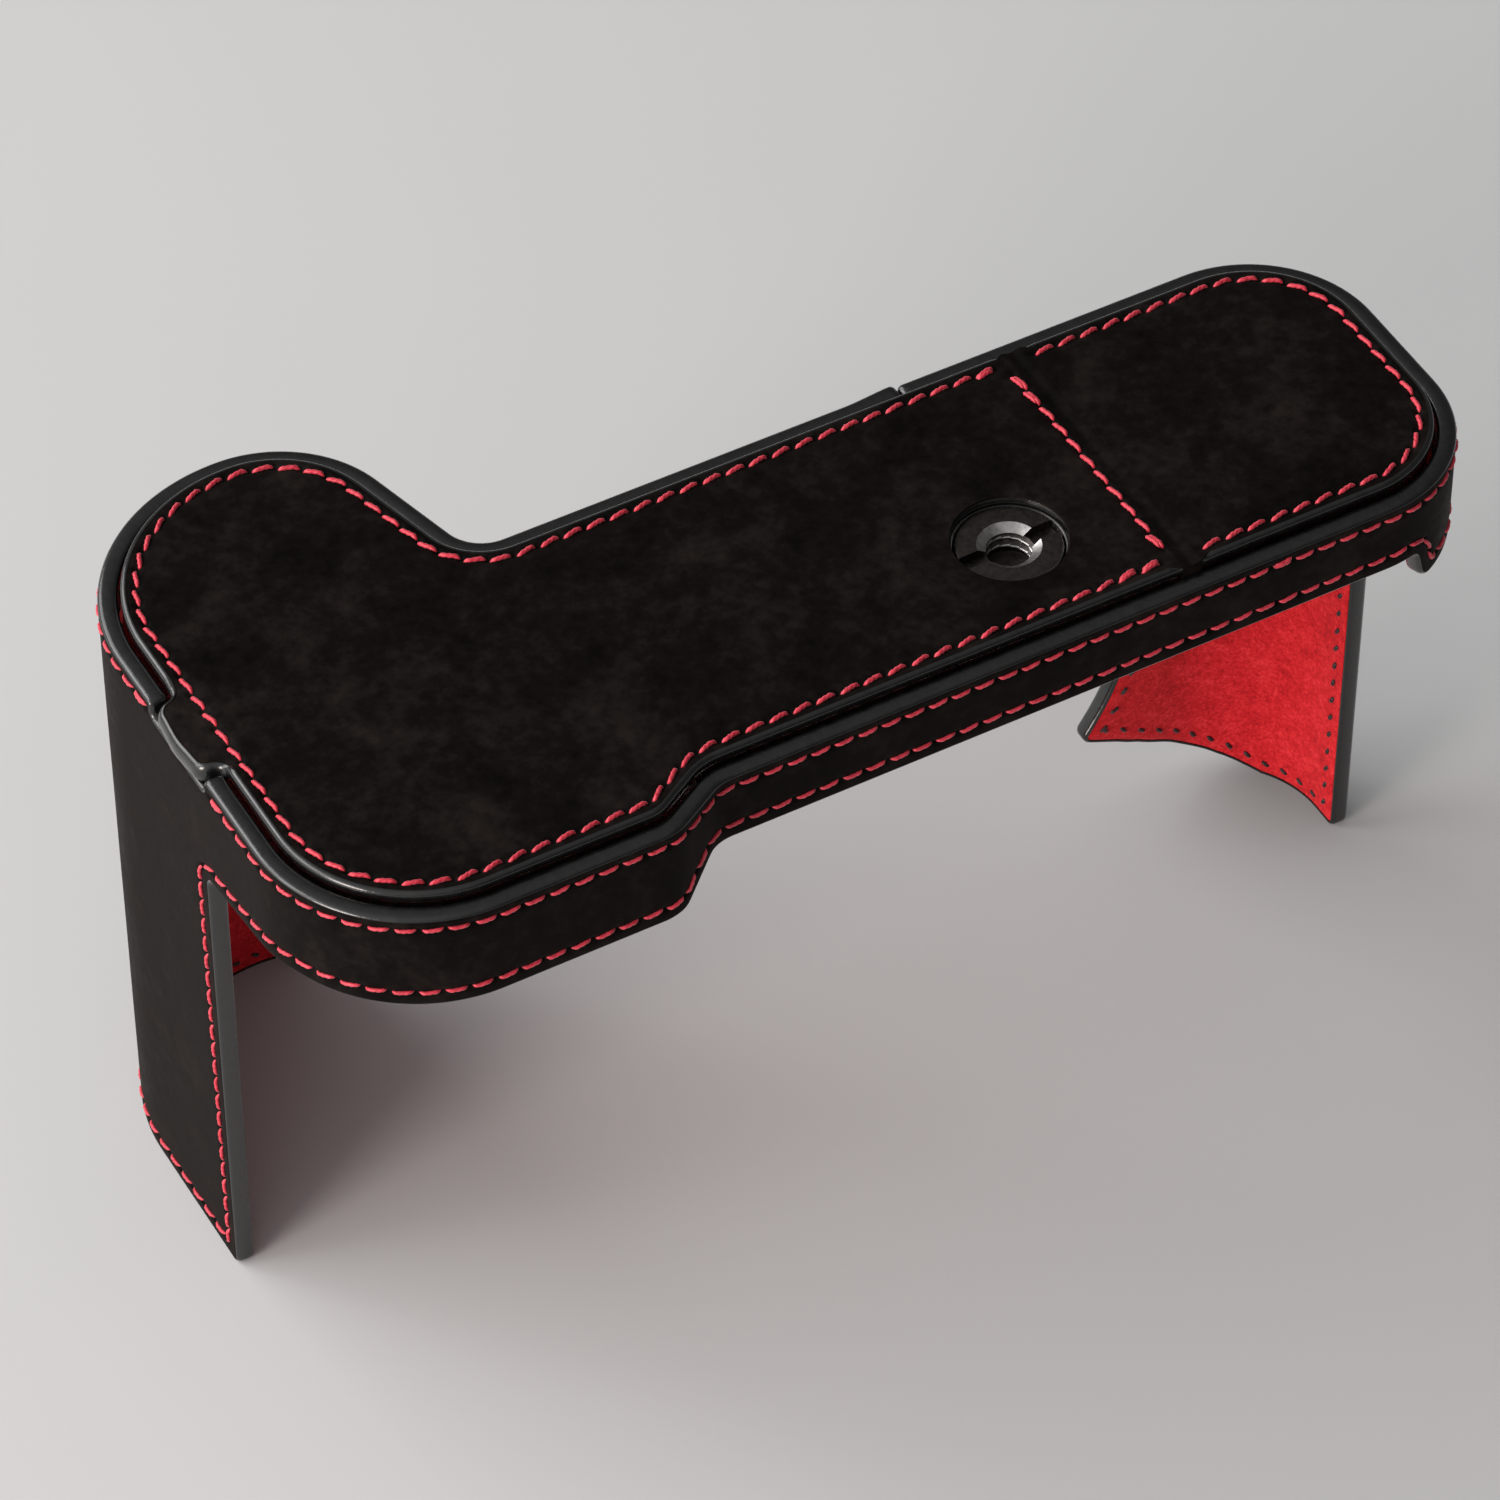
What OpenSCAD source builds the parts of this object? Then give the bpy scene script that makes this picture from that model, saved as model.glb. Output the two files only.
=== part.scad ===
// Leather half case for a mirrorless camera, lying with its base up and standing on its
// two tall walls. X runs along the camera, +Y is the lens side and +Z points out of the base.
// The origin is under the middle of the case, on the surface it stands on. Millimetres.

/* [Case] */
// Length of the case, from the grip end to the plain end
case_len = 152.7; // [150:0.1:156]
// Depth of the case over the hand grip
grip_depth = 77; // [74:0.5:80]
// Depth of the case over the plain end
body_depth = 45.5; // [42:0.5:48]
// Length of the hand grip bulge along X
grip_len = 35.4; // [34:0.1:40]
// How far the thumb rest side steps out at the back
back_step = 4.4; // [3:0.1:6]
// Height of the wall rim above the surface that the case stands on
rim_h = 83.5; // [78:0.5:90]

/* [Leather] */
// Thickness of the outer leather
leather_t = 1.4; // [1:0.1:1.8]
// Thickness of the suede lining
lining_t = 0.9; // [0.6:0.1:1.2]
// Thickness of the stiffening board inside the base
board_t = 3.8; // [3:0.1:4.5]
// How far the base stands above the wall rim
base_proud = 1.3; // [0.8:0.1:2]
// Gap between the wall lining and the edge of the base
base_gap = 0.35; // [0.3:0.05:0.5]

/* [Free edges] */
// Height of the back wall beside the plain end
back_band = 9.85; // [8:0.05:12]
// Height of the back wall behind the grip
thumb_band = 13.8; // [12:0.1:16]
// Height of the end and front walls where they are low
end_band = 15; // [13:0.5:17]
// Radius of the lens cut-out
lens_r = 35.8; // [33:0.1:38]
// Middle of the lens cut-out along X
lens_x = 18.6; // [16:0.1:22]
// Height of the middle of the lens cut-out
lens_z = 33.5; // [30:0.5:36]

/* [Flap] */
// Fold line of the flap along X
fold_x = 35.2; // [32:0.5:40]
// Width of the thinned leather in the fold
fold_w = 2.4; // [2:0.1:4]
// Width of the pull tab
tab_w = 11.5; // [10:0.5:13]
// Middle of the pull tab along Y
tab_y = 0.5; // [-1:0.1:2]

/* [Tripod screw] */
// Screw axis along X
screw_x = 19.3; // [16:0.1:22]
// Screw axis along Y
screw_y = -17.9; // [-22:0.1:-16]
// Diameter of the screw head
head_d = 12.6; // [12:0.1:13]
// Outer diameter of the camera thread
thread_d = 6.35; // [6.35]

/* [Thread] */
// Distance from one stitch to the next
pitch = 3; // [2.5:0.1:4]
// Length of one stitch
stitch_len = 2.3; // [1.8:0.1:2.5]
// Diameter of the sewing thread
yarn_d = 0.6; // [0.4:0.05:0.8]
// Distance from a wall's free edge to its row of stitches
edge_margin = 2.2; // [1.8:0.1:2.6]

/* [Hidden] */

leather = [0.07, 0.07, 0.07];
suede = [0.78, 0.1, 0.13];
red_yarn = [0.85, 0.2, 0.25];
board = [0.45, 0.4, 0.33];
steel = [0.3, 0.3, 0.31];
eps = 0.01;

// Plan outline
half_len = case_len / 2;
step_x = -30.8;
half_depth = grip_depth / 2;
back_y = -half_depth + back_step;
front_y = back_y + body_depth;
grip_inner_x = -half_len + grip_len;
seam_y = -4.5;
arc_step = 8;
end_r = 16;
thumb_end_r = 20;
grip_end_r = 23.3;
grip_side_r = 15.5;
grip_side_run = 7.2;
grip_foot_r = 5;
back_step_run = 3.8;
back_step_out_r = 7;
back_step_in_r = 5.5;

// Corners of the outer wall face, anticlockwise: x, y and the corner's radius
wall_corners = [
    [-half_len, seam_y, 0],
    [-half_len, -half_depth, thumb_end_r],
    [step_x - back_step_run, -half_depth, back_step_out_r],
    [step_x + back_step_run, back_y, back_step_in_r],
    [half_len, back_y, end_r],
    [half_len, front_y, end_r],
    [grip_inner_x + grip_side_run, front_y, grip_foot_r],
    [grip_inner_x, half_depth, grip_side_r],
    [-half_len, half_depth, grip_end_r]
];

// Levels
wall_t = leather_t + lining_t;
base_top = rim_h + base_proud;
board_top = base_top - leather_t;
board_foot = board_top - board_t;
suede_t = 0.8;
base_foot = board_foot - suede_t;
panel_inset = wall_t + base_gap;
lining_setback = 0.6;
lining_top = rim_h - lining_setback;
lining_foot = 0.2;
board_inset = panel_inset + 0.4;

// Free edges of the walls
grip_leg_y = -5.5;
end_leg_y = -8.6;
grip_leg_x = -44.3;
corner_x = 65.9;
side_low = 16.8;
tip_z = 12.6;
tip_x = lens_x + sqrt(pow(lens_r, 2) - pow(lens_z - tip_z, 2));
foot_x = 73;
sweep_r = 18;
thumb_y = -26;
thumb_r = 12;
leg_corner_r = 1.5;
tip_r = 1;
step_run = 1.7;
step_high_r = 3;
step_low_r = 1.5;
corner_run = 0.9;
corner_high_r = 1.2;
corner_low_r = 2.2;

// Notch in the rim for the tab
notch_w = tab_w + 1.5;
notch_floor = rim_h - 2.1;
notch_depth_x = 72;
tab_setback = 0.05;
tab_end_x = -half_len + tab_setback;
tab_root_x = -71;
tab_clear = 0.2;
tab_foot = notch_floor + tab_clear;
tab_top = rim_h + 0.7;

// Tripod screw and its bush
bush_r = 7.6;
flange_r = 9;
flange_t = 0.8;
shoulder_t = 0.8;
head_clear = 0.2;
leather_clear = 0.1;
bush_bore_r = head_d / 2 + head_clear;
screw_hole_r = bush_bore_r + leather_clear;
neck_r = 2.6;
neck_hole_r = 2.8;
washer_t = 0.3;
washer_clear = 0.1;
head_foot = base_foot + shoulder_t + washer_t;
head_top = base_top - 1.05;
socket_r = 3.2;
socket_chamfer = 0.6;
socket_bed = 0.5;
socket_floor = head_foot + socket_bed;
neck_reach = 1.6;
shank_reach = 4.8;
neck_foot = base_foot - neck_reach;
shank_foot = base_foot - shank_reach;

// Plane geometry
function unit(v) = v / norm(v);
function left_of(v) = [-v.y, v.x];
function turned(v, a) = [v.x * cos(a) - v.y * sin(a), v.x * sin(a) + v.y * cos(a)];
function turn_at(u, v) = atan2(cross(u, v), u * v);

// Arc that rounds corner p, moved inwards by inset
function corner_arc(before, p, after, inset) =
    let (
        here = [p.x, p.y],
        u = unit(here - [before.x, before.y]),
        v = unit([after.x, after.y] - here),
        n = left_of(u),
        m = left_of(v),
        turn = turn_at(u, v),
        q = here + inset * (n + m) / (1 + n * m),
        r = len(p) < 3 || p[2] == 0 ? 0 : max(0.3, p[2] - sign(turn) * inset),
        start = q - u * r * tan(abs(turn) / 2),
        mid = start + sign(turn) * n * r,
        steps = max(1, ceil(abs(turn) / arc_step))
    )
    r == 0 ? [q] : [for (k = [0:steps]) mid + turned(start - mid, turn * k / steps)];

// Closed outline with rounded corners, moved inwards by inset
function outline(corners, inset) =
    let (n = len(corners))
    [for (i = [0:n - 1]) each corner_arc(corners[(i + n - 1) % n], corners[i], corners[(i + 1) % n], inset)];

// Open path with rounded corners
function rounded_path(corners) =
    let (n = len(corners))
    [
        [corners[0].x, corners[0].y],
        for (i = [1:n - 2]) each corner_arc(corners[i - 1], corners[i], corners[i + 1], 0),
        [corners[n - 1].x, corners[n - 1].y]
    ];

// Distance along a path to each of its points
function distances(path) =
    [for (i = 0, d = 0; i < len(path); d = d + (i + 1 < len(path) ? norm(path[i + 1] - path[i]) : 0), i = i + 1) d];

// Tables that turn a distance along a path into a place
function tables(path) =
    let (d = distances(path))
    [for (axis = [0, 1]) [for (i = [0:len(path) - 1]) [d[i], path[i][axis]]]];
function place(table, d) = [lookup(d, table[0]), lookup(d, table[1])];
function closed(path) = [each path, path[0]];
function length_of(path) = let (d = distances(path)) d[len(d) - 1];

// Distance along a path to its point nearest to p
function distance_to(path, p) =
    let (
        d = distances(path),
        hits = [for (i = [0:len(path) - 2])
            let (
                span = norm(path[i + 1] - path[i]),
                u = (path[i + 1] - path[i]) / span,
                t = min(span, max(0, (p - path[i]) * u))
            )
            [norm(path[i] + u * t - p), d[i] + t]],
        nearest = min([for (h = hits) h[0]])
    )
    [for (h = hits) if (h[0] == nearest) h[1]][0];

// Wall surface unrolled: d runs along the outline from the seam, z is the height
yarn_r = yarn_d / 2;
wall_line = closed(outline(wall_corners, yarn_r));
wall_table = tables(wall_line);
function on_wall(p) = let (q = place(wall_table, p.x)) [q.x, q.y, p.y];
function along(x, y) = distance_to(wall_line, [x, y]);

d_grip_leg = along(-half_len, grip_leg_y + edge_margin);
row_over = 1;
d_notch_low = along(-half_len, tab_y - notch_w / 2 - row_over);
d_notch_high = along(-half_len, tab_y + notch_w / 2 + row_over);
d_end_leg = along(half_len, end_leg_y + edge_margin);
function d_back(x) = along(x, x < step_x ? -half_depth : back_y);
function d_front(x) = along(x, x < grip_inner_x ? half_depth : front_y);

// Shared solids
module band(inset_out, inset_in, z0, z1) {
    translate([0, 0, z0]) linear_extrude(z1 - z0) difference() {
        polygon(outline(wall_corners, inset_out));
        polygon(outline(wall_corners, inset_in));
    }
}

module slab(inset, z0, z1) {
    translate([0, 0, z0]) linear_extrude(z1 - z0) polygon(outline(wall_corners, inset));
}

// Prism standing on an X-Z profile, from y0 to y1
module xz_prism(profile, y0, y1) {
    translate([0, y1, 0]) rotate([90, 0, 0]) linear_extrude(y1 - y0) polygon(profile);
}

// Prism lying on a Y-Z profile, from x0 to x1
module yz_prism(profile, x0, x1) {
    translate([x0, 0, 0]) rotate([90, 0, 90]) linear_extrude(x1 - x0) polygon(profile);
}

// How far the cuts run past the faces that they open
far = 100;
under = -1;
past = 5;
over = 1;

// Middles of the flat spans where the cuts for the free edges overlap
grip_span_x = -59.5;
end_span_x = 62;
back_span_y = -20;

// Everything that the walls leave open below their free edges
module wall_openings() {
    thumb_z = rim_h - thumb_band;
    back_z = rim_h - back_band;
    end_z = rim_h - end_band;
    leg_z = rim_h - side_low;
    xz_prism(rounded_path([
        [grip_span_x, under], [grip_span_x, thumb_z],
        [step_x - step_run, thumb_z, step_high_r], [step_x + step_run, back_z, step_low_r],
        [corner_x - corner_run, back_z, corner_high_r], [corner_x + corner_run, end_z, corner_low_r],
        [far, end_z], [far, under]
    ]), -half_depth - past, back_span_y);
    yz_prism(rounded_path([
        [-half_depth - past, under], [-half_depth - past, thumb_z], [thumb_y, thumb_z, thumb_r],
        [grip_leg_y, leg_z, leg_corner_r], [grip_leg_y, under]
    ]), -far, grip_span_x + over);
    yz_prism(rounded_path([
        [-half_depth - past, under], [-half_depth - past, end_z], [end_leg_y, end_z, leg_corner_r], [end_leg_y, under]
    ]), end_span_x, far);
    xz_prism(rounded_path([
        [grip_leg_x, under], [grip_leg_x, end_z, sweep_r], [lens_x, end_z], [lens_x, lens_z],
        [tip_x, tip_z, tip_r], [foot_x, 0], [foot_x + over, under]
    ]), 0, half_depth + past);
    translate([lens_x, half_depth + past, lens_z]) rotate([90, 0, 0])
        cylinder(h = half_depth + past, r = lens_r, $fn = 96);
}

module rim_notch() {
    translate([-far, tab_y - notch_w / 2, notch_floor]) cube([far - notch_depth_x, notch_w, past]);
}

module stitch(a, b) {
    run = norm(b - a);
    translate(a)
        rotate([0, acos((b.z - a.z) / run), atan2(b.y - a.y, b.x - a.x)])
            cylinder(h = run, r = yarn_r, $fn = 6);
}

// Row of stitches along a path on the unrolled wall
module wall_row(path) {
    table = tables(path);
    count = floor((length_of(path) - stitch_len) / pitch);
    for (k = [0:count]) {
        stitch(on_wall(place(table, k * pitch)), on_wall(place(table, k * pitch + stitch_len)));
    }
}

// Row of stitches along a path on the base
module base_row(path) {
    table = tables(path);
    z = base_top - yarn_r;
    count = floor((length_of(path) - stitch_len) / pitch);
    for (k = [0:count]) {
        a = place(table, k * pitch);
        b = place(table, k * pitch + stitch_len);
        stitch([a.x, a.y, z], [b.x, b.y, z]);
    }
}

// Half spaces either side of the fold
module flap_side(x = fold_x - fold_w / 2) {
    translate([-far, -far, 0]) cube([far + x, 2 * far, far]);
}

module end_side(x = fold_x + fold_w / 2) {
    translate([x, -far, 0]) cube([far, 2 * far, far]);
}

// Stiffeners between the leather and the lining of the two tall walls
core_t = 0.4;
core_clear = 3.6;
core_top_clear = 6;

module grip_core_shape() {
    intersection() {
        band(leather_t, leather_t + core_t, core_clear, rim_h - core_top_clear);
        translate([-far, grip_leg_y + core_clear, 0]) cube([far + grip_leg_x - core_clear, far, far]);
    }
}

module end_core_shape() {
    intersection() {
        band(leather_t, leather_t + core_t, tip_z + core_clear, rim_h - core_top_clear);
        translate([lens_x + lens_r + core_clear, end_leg_y + core_clear, 0]) cube([far, far, far]);
    }
}

// Case body
module wall_leather() {
    color(leather) difference() {
        band(0, leather_t, 0, rim_h);
        wall_openings();
        rim_notch();
    }
}

module wall_lining() {
    color(suede) difference() {
        band(leather_t, wall_t, lining_foot, lining_top);
        wall_openings();
        rim_notch();
        grip_core_shape();
        end_core_shape();
    }
}

module grip_leg_core() {
    color(board) grip_core_shape();
}

module end_leg_core() {
    color(board) end_core_shape();
}

module end_panel_leather() {
    color(leather) intersection() {
        slab(panel_inset, board_top, base_top);
        end_side();
    }
}

module end_panel_board() {
    color(board) intersection() {
        slab(board_inset, board_foot, board_top);
        end_side();
    }
}

module end_panel_lining() {
    color(suede) intersection() {
        slab(panel_inset, base_foot, board_foot);
        end_side();
    }
}

// Angle strip that holds the end panel to the walls
module end_panel_welt() {
    welt_t = 0.8;
    welt_drop = 4.2;
    welt_w = 5;
    color(leather) difference() {
        intersection() {
            slab(wall_t, base_foot - welt_drop, base_foot);
            end_side(fold_x + fold_w);
        }
        slab(wall_t + welt_t, base_foot - welt_drop - over, base_foot - welt_t);
        slab(wall_t + welt_w, base_foot - welt_drop - over, base_foot + over);
    }
}

module hinge_strip() {
    skived_t = 0.8;
    color(leather) intersection() {
        slab(panel_inset, base_top - skived_t, base_top);
        translate([fold_x - fold_w / 2, -far, 0]) cube([fold_w, 2 * far, far]);
    }
}

rim_margin = 1.7;
rim_row_z = rim_h - rim_margin;

module rim_thread() {
    color(red_yarn) wall_row([[d_notch_low, rim_row_z], [d_notch_high, rim_row_z]]);
}

module back_edge_thread() {
    thumb_z = rim_h - thumb_band + edge_margin;
    back_z = rim_h - back_band + edge_margin;
    end_z = rim_h - end_band + edge_margin;
    leg_z = rim_h - side_low + edge_margin;
    row_shift = 1.1;
    row_r = 2;
    color(red_yarn) wall_row(rounded_path([
        [along(-half_len, grip_leg_y - row_over), leg_z],
        [along(-half_len, thumb_y), thumb_z, thumb_r],
        [d_back(step_x - step_run - row_shift), thumb_z, step_high_r],
        [d_back(step_x + step_run - row_shift), back_z, row_r],
        [d_back(corner_x - corner_run + row_shift), back_z, row_r],
        [d_back(corner_x + corner_run + row_shift), end_z, row_r],
        [along(half_len, end_leg_y - row_over), end_z]
    ]));
}

row_corner_r = 0.5;
row_join_rise = 11.5;
row_join_z = lens_z + row_join_rise;

module grip_leg_thread() {
    color(red_yarn) wall_row(rounded_path([
        [d_grip_leg, rim_h - side_low + edge_margin],
        [d_grip_leg, edge_margin, row_corner_r],
        [d_front(grip_leg_x - edge_margin), edge_margin, row_corner_r],
        [d_front(grip_leg_x - edge_margin), row_join_z - pitch / 2]
    ]));
}

// Row above the front opening, over the lens cut-out and down to the tip of the end leg
module front_edge_thread() {
    row_r = lens_r + edge_margin;
    row_lift = 0.4;
    row_z = rim_h - end_band + edge_margin + row_lift;
    tip_clear = 4;
    d_lens = d_front(lens_x);
    top_a = asin((row_z - lens_z) / row_r);
    tip_a = asin((tip_z + tip_clear - lens_z) / row_r);
    steps = 24;
    color(red_yarn) wall_row(rounded_path([
        for (k = [0:steps])
            let (a = tip_a + (180 - top_a - tip_a) * k / steps)
            [d_lens - row_r * cos(a), lens_z + row_r * sin(a)],
        [d_front(grip_leg_x - edge_margin), row_z, sweep_r],
        [d_front(grip_leg_x - edge_margin), row_join_z + pitch / 2]
    ]));
}

module end_leg_thread() {
    slope = tip_z / (foot_x - tip_x);
    function edge_z(x) = max(0, (foot_x - x) * slope);
    row_x = [for (x = [half_len - end_r:-pitch:tip_x + edge_margin + row_over]) x];
    turn_back = 11;
    turn_in = 1;
    turn_r = 4;
    color(red_yarn) wall_row(rounded_path([
        [d_end_leg, rim_h - end_band + edge_margin],
        [d_end_leg, edge_margin, row_corner_r],
        [along(half_len - turn_in, front_y - turn_back), edge_margin, turn_r],
        for (x = row_x) [d_front(x), edge_z(x) + edge_margin]
    ]));
}

base_margin = 4.4;
fold_margin = 1.7;
row_end = 1;
row_step = 1;
fold_row_x = fold_x - fold_margin;

module end_panel_thread() {
    path = closed(outline(wall_corners, base_margin));
    start = distance_to(path, [fold_x + fold_w, back_y]);
    stop = distance_to(path, [fold_x + fold_w, front_y]);
    table = tables(path);
    color(red_yarn) base_row([for (d = [start:row_step:stop]) place(table, d)]);
}

// Flap
module flap_leather() {
    color(leather) difference() {
        union() {
            intersection() {
                slab(panel_inset, board_top, base_top);
                flap_side();
            }
            translate([tab_end_x, tab_y - tab_w / 2, tab_foot])
                cube([tab_root_x - tab_end_x, tab_w, tab_top - tab_foot]);
        }
        translate([screw_x, screw_y, board_top - over]) cylinder(h = leather_t + 2 * over, r = screw_hole_r, $fn = 64);
    }
}

module flap_board() {
    color(board) difference() {
        intersection() {
            slab(board_inset, board_foot, board_top);
            flap_side();
        }
        translate([tab_end_x, tab_y - tab_w / 2, tab_foot]) cube([tab_root_x - tab_end_x, tab_w, past]);
        translate([screw_x, screw_y, board_foot - over]) cylinder(h = board_t + 2 * over, r = bush_r, $fn = 64);
        translate([screw_x, screw_y, board_top - flange_t]) cylinder(h = flange_t + over, r = flange_r, $fn = 64);
    }
}

module flap_lining() {
    color(suede) difference() {
        intersection() {
            slab(panel_inset, base_foot, board_foot);
            flap_side();
        }
        translate([screw_x, screw_y, base_foot - over]) cylinder(h = suede_t + 2 * over, r = bush_r, $fn = 64);
    }
}

module flap_thread() {
    path = closed(outline(wall_corners, base_margin));
    table = tables(path);
    low = distance_to(path, [fold_row_x, back_y]);
    high = distance_to(path, [fold_row_x, front_y]);
    far_low = place(table, low);
    far_high = place(table, high);
    color(red_yarn) {
        base_row([for (d = [0:row_step:low]) place(table, d)]);
        base_row([for (d = [high:row_step:length_of(path)]) place(table, d)]);
        base_row([[fold_row_x, far_low.y + row_end], [fold_row_x, far_high.y - row_end]]);
    }
}

// Flanged bush that carries the tripod screw
module screw_bush() {
    color("silver") translate([screw_x, screw_y, 0]) difference() {
        union() {
            translate([0, 0, base_foot]) cylinder(h = board_top - base_foot, r = bush_r, $fn = 64);
            translate([0, 0, board_top - flange_t]) cylinder(h = flange_t, r = flange_r, $fn = 64);
        }
        translate([0, 0, base_foot + shoulder_t]) cylinder(h = 2 * past, r = bush_bore_r, $fn = 64);
        translate([0, 0, base_foot - over]) cylinder(h = past, r = neck_hole_r, $fn = 48);
    }
}

module head_washer() {
    color("white") translate([screw_x, screw_y, base_foot + shoulder_t]) difference() {
        cylinder(h = washer_t, r = head_d / 2 - washer_clear, $fn = 64);
        translate([0, 0, -over]) cylinder(h = washer_t + 2 * over, r = neck_r + washer_clear, $fn = 48);
    }
}

// Captive screw with a coin slot and a female socket for a tripod
module tripod_screw() {
    slot_w = 2;
    slot_depth = 1.2;
    slot_turn = 3.4;
    rim_chamfer = 0.5;
    tip_chamfer = 0.5;
    color(steel) translate([screw_x, screw_y, 0]) difference() {
        union() {
            translate([0, 0, head_foot]) cylinder(h = head_top - head_foot - rim_chamfer, r = head_d / 2, $fn = 96);
            translate([0, 0, head_top - rim_chamfer])
                cylinder(h = rim_chamfer, r1 = head_d / 2, r2 = head_d / 2 - rim_chamfer, $fn = 96);
            translate([0, 0, neck_foot]) cylinder(h = head_foot - neck_foot, r = neck_r, $fn = 48);
            translate([0, 0, shank_foot + tip_chamfer])
                cylinder(h = neck_foot - shank_foot - tip_chamfer, r = thread_d / 2, $fn = 48);
            translate([0, 0, shank_foot])
                cylinder(h = tip_chamfer, r1 = thread_d / 2 - tip_chamfer, r2 = thread_d / 2, $fn = 48);
        }
        translate([0, 0, socket_floor]) cylinder(h = 2 * past, r = socket_r, $fn = 48);
        translate([0, 0, head_top - socket_chamfer])
            cylinder(h = socket_chamfer + eps, r1 = socket_r, r2 = socket_r + socket_chamfer, $fn = 48);
        rotate([0, 0, slot_turn]) translate([-head_d, -slot_w / 2, head_top - slot_depth])
            cube([2 * head_d, slot_w, past]);
    }
}

wall_leather();
wall_lining();
grip_leg_core();
end_leg_core();
end_panel_leather();
end_panel_board();
end_panel_lining();
end_panel_welt();
hinge_strip();
rim_thread();
back_edge_thread();
grip_leg_thread();
front_edge_thread();
end_leg_thread();
end_panel_thread();
flap_leather();
flap_board();
flap_lining();
flap_thread();
screw_bush();
head_washer();
tripod_screw();
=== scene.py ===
"""Looks of a leather camera half case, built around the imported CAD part. Plans are in millimetres."""
import math

import bpy
import numpy as np
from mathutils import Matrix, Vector, geometry, kdtree


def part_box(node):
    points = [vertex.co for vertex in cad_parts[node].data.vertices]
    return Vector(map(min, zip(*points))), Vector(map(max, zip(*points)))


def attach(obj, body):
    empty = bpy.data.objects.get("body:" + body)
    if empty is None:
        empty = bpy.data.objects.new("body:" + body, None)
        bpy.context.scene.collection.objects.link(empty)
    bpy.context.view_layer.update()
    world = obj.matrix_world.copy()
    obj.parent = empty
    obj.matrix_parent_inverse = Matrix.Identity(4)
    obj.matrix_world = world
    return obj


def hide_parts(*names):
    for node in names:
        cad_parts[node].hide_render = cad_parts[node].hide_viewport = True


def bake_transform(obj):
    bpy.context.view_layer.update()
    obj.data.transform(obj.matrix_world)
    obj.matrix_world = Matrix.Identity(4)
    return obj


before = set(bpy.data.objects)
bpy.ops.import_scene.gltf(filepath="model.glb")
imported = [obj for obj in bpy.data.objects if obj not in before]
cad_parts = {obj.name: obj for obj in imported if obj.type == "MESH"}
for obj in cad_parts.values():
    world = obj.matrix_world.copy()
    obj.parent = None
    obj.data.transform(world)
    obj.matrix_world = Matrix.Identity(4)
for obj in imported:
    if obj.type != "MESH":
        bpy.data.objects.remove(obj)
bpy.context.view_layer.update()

MM = 0.001


# ---------------------------------------------------------------- sizes, read from the frame

def low(node):
    return np.array(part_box(node)[0]) / MM


def high(node):
    return np.array(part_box(node)[1]) / MM


HALF_LEN = float(high("wall_leather")[0])
HALF_DEPTH = float(high("wall_leather")[1])
RIM = float(high("wall_leather")[2])
BASE_TOP = float(high("end_panel_leather")[2])
LEATHER = BASE_TOP - float(low("end_panel_leather")[2])
WALL = HALF_LEN - float(high("end_panel_welt")[0])
PANEL_INSET = HALF_LEN - float(high("end_panel_leather")[0])
BACK = float(low("end_panel_leather")[1]) - PANEL_INSET
FRONT = float(high("end_panel_leather")[1]) + PANEL_INSET
FOLD_LOW = float(low("hinge_strip")[0])
FOLD_HIGH = float(high("hinge_strip")[0])
FOLD = (FOLD_LOW + FOLD_HIGH) / 2
PANEL_FOOT = float(low("end_panel_lining")[2])
SUEDE = float(high("end_panel_lining")[2]) - PANEL_FOOT
SCREW_X, SCREW_Y = ((low("tripod_screw") + high("tripod_screw")) / 2)[:2]
HEAD_TOP = float(high("tripod_screw")[2])
SHANK_FOOT = float(low("tripod_screw")[2])
TAB_END = float(low("flap_leather")[0])

GRIP_INNER = -HALF_LEN + 35.4
STEP = -30.8
SEAM = 21.4
END_R, GRIP_END_R, THUMB_END_R = 16, 23.3, 20
GRIP_SIDE_R, GRIP_FOOT_R, GRIP_SIDE_RUN = 15.5, 5, 7.2
STEP_OUT_R, STEP_IN_R, STEP_SIDE_RUN = 7, 5.5, 3.8
LAP, LAP_RUN = 0.45, 7
LENS_X, LENS_Z, LENS_R = 18.6, 33.5, 35.8
TAB_Y, TAB_W = 0.5, 11.5
NOTCH_W, NOTCH_DEPTH = 13.0, 2.1
GRIP_LEG_Y, END_LEG_Y, GRIP_LEG_X = -5.5, -8.6, -44.3
TIP_Z, FOOT_X = 12.6, 73.0
THUMB_BAND, BACK_BAND, END_BAND, SIDE_BAND = 13.8, 9.85, 15.0, 16.8
SWEEP_R, LEG_CORNER_R, LEG_FOOT_R, TIP_R = 18, 1.5, 1, 1.2
THUMB_Y, THUMB_R = -26, 12
STEP_RUN, STEP_HIGH_R, STEP_LOW_R = 1.7, 3, 1.5
CORNER_HIGH_X, CORNER_LOW_X, CORNER_HIGH_R, CORNER_LOW_R = 64.9, 66.5, 1.2, 2.2
RIM_R = 0.8
PITCH, STITCH, YARN_R = 3.0, 2.3, 0.26
RIM_ROW, EDGE_ROW, BASE_ROW = 1.7, 2.2, 4.4
FOLD_ROW = FOLD - 1.7
RIM_TACK_X = 46.6
ROW_JOIN_RISE = 11.5
TAB_ROOT, TAB_BEND_RUN, TAB_DROP, TAB_THICKER = -71.0, 2.6, 0.7, 0.72
CURL_RUN, CURL_DROP, CURL_THINNER, CURL_MOST = 1.9, 0.42, 0.28, 1.3
TAB_BOW = 0.5
HEAD_HOLE_R, BUSH_R = 6.6, 7.6
HEAD_R, NECK_R = 6.3, 2.6
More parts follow.
